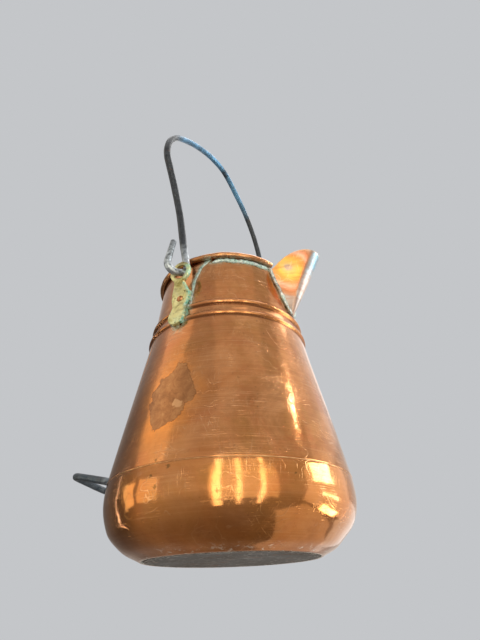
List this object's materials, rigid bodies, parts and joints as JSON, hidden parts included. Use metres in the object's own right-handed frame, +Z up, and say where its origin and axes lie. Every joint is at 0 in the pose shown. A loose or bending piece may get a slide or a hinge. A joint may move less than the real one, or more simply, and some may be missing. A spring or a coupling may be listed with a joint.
{
  "type": "copper pouring can",
  "caption": "Tapered copper pouring can with a rounded base, open beak spout, swinging iron bail on brass ears and a hinged iron loop at the back.",
  "frame": {"origin": "centre of the underside of the base, on the plane the can stands on", "axes": "+Z up through the mouth; the bail turns about a line along Y, with the left ear on -Y; the beak spout points to +X (4.5 degrees towards +Y) and the rear loop to -X"},
  "size_m": [0.2392, 0.1802, 0.4063],
  "materials": {
    "copper": "aged polished copper sheet, fine scratches and darker patina",
    "tinned_copper": "dull grey worn tinning",
    "copper_rivet": "hammered copper",
    "braze": "brazed seam, slightly yellower than the sheet",
    "brass": "weathered cast brass, pitted, green in the corners",
    "solder": "dull soft solder with pale green corrosion",
    "iron": "black forged rod, hammered, worn grey on the high spots",
    "steel_strap": "bare iron strap, dull grey"
  },
  "bodies": {
    "pot": {"upper_body": "copper", "side_seam_braze": "braze", "lower_bowl": "copper", "bowl_seam_braze": "braze", "base_disc": "tinned_copper", "base_solder": "solder", "rolled_rim": "copper", "rim_wire": "iron", "rim_solder": "solder", "spout": "copper", "spout_solder": "solder", "ear_left": "brass", "ear_right": "brass", "ear_left_rivets": "copper_rivet", "ear_right_rivets": "copper_rivet", "ear_left_solder": "solder", "ear_right_solder": "solder", "rear_lug_left": "steel_strap", "rear_lug_right": "steel_strap", "rear_lug_rivets": "copper_rivet"},
    "bail_handle": {"bail": "iron"},
    "tipping_loop": {"rear_loop": "iron"}
  },
  "joints": [
    {"name": "bail_swing", "type": "hinge", "parent": "pot", "child": "bail_handle", "pos_m": [0, 0, 0.202], "axis": [-0.061, 0.9981, 0], "range_deg": [-110, 112]},
    {"name": "loop_swing", "type": "hinge", "parent": "pot", "child": "tipping_loop", "pos_m": [-0.09231, -0.00726, 0.0595], "axis": [-0.0785, 0.9969, 0], "range_deg": [-95, 85]}
  ]
}
